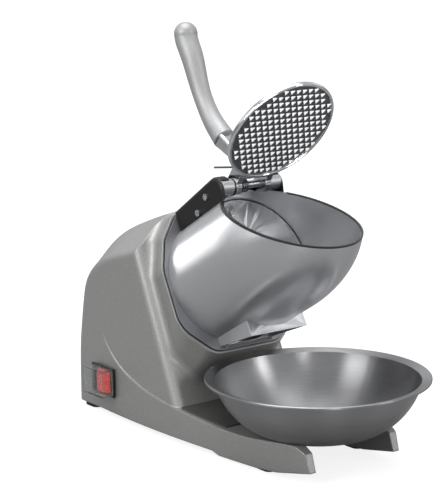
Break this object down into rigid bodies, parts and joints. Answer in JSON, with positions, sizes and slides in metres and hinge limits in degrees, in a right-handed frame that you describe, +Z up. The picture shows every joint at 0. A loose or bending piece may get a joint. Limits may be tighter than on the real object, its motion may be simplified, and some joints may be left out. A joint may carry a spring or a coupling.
{
  "type": "shaved ice machine",
  "caption": "Countertop ice shaver: cast body on a fork foot, tilted steel hopper barrel, spring-loaded toothed press lever, steel bowl in the fork.",
  "frame": {"origin": "on the ground, under the centre of the bounding box, feet at z = 0", "axes": "+Z up, -Y towards the bowl and the hopper mouth (front), +X to the right of a person who faces the bowl, the body symmetric about x = 0"},
  "size_m": [0.224, 0.436, 0.4249],
  "materials": {
    "cast_paint": "fine hammered metallic paint",
    "collar_paint": "satin dark grey paint",
    "deck_plastic": "fine texture",
    "black_steel": "satin black powder coat",
    "stainless": "brushed",
    "stainless_bowl": "spun and satin polished",
    "chrome": "polished",
    "grip_metal": "satin silver lacquer on a cast grip",
    "plate_cast": "cast, teeth polished",
    "rubber": "moulded",
    "black_plastic": "moulded",
    "red_plastic": "moulded translucent red",
    "clear_plastic": "clear moulded cover",
    "zinc_steel": "zinc plated",
    "motor_aluminium": "die cast",
    "electrical_steel": "stacked laminations",
    "copper": "enamelled wire",
    "bearing_steel": "ground",
    "blade_steel": "ground",
    "white_plastic": "moulded",
    "spring_steel": "drawn wire"
  },
  "bodies": {
    "base": {"body_casting": "cast_paint", "deck_tray": "deck_plastic", "front_collar": "collar_paint", "collar_gasket": "rubber", "shaft_seal": "rubber", "hopper_barrel": "stainless", "mouth_trim": "black_plastic", "chute": "stainless", "chute_screws": "zinc_steel", "hinge_bracket": "black_steel", "bracket_screws": "zinc_steel", "hinge_pin": "bearing_steel", "hinge_bushes": "motor_aluminium", "lever_spring": "spring_steel", "motor_front_bell": "motor_aluminium", "motor_rear_bell": "motor_aluminium", "motor_stator": "electrical_steel", "motor_windings": "copper", "motor_screws": "zinc_steel", "bearings": "bearing_steel", "run_capacitor": "white_plastic", "capacitor_clip": "spring_steel", "bottom_plate": "black_steel", "bottom_screws": "zinc_steel", "rear_feet": "rubber", "front_feet": "rubber", "switch_frame": "black_plastic", "switch_cover": "clear_plastic", "cord_gland": "rubber"},
    "rotor": {"motor_rotor": "electrical_steel", "drive_shaft": "bearing_steel", "cooling_fan": "black_plastic", "blade_disc": "stainless", "shaving_blades": "blade_steel", "blade_screws": "zinc_steel", "disc_nut": "zinc_steel"},
    "lever": {"lever_grip": "grip_metal", "lever_arm": "chrome", "press_plate": "plate_cast", "plate_screws": "zinc_steel"},
    "rocker": {"switch_rocker": "red_plastic"},
    "bowl": {"bowl": "stainless_bowl"}
  },
  "joints": [
    {"name": "rotor_spin", "type": "hinge", "parent": "base", "child": "rotor", "pos_m": [0, 0.0425, 0.1588], "axis": [0, -0.8695, 0.4939], "continuous": true},
    {"name": "lever_hinge", "type": "hinge", "parent": "base", "child": "lever", "pos_m": [0, 0.00242, 0.26438], "axis": [1, 0, 0], "range_deg": [0, 118], "stiffness_Nm_per_rad": 0.3, "springref_deg": -20.05},
    {"name": "switch_rock", "type": "hinge", "parent": "base", "child": "rocker", "pos_m": [-0.0765, 0.1545, 0.0405], "axis": [0, 0, 1], "range_deg": [-18, 0]},
    {"name": "bowl_lift", "type": "slide", "parent": "base", "child": "bowl", "axis": [0, -0.8829, 0.4695], "range_m": [0, 0.2]}
  ]
}
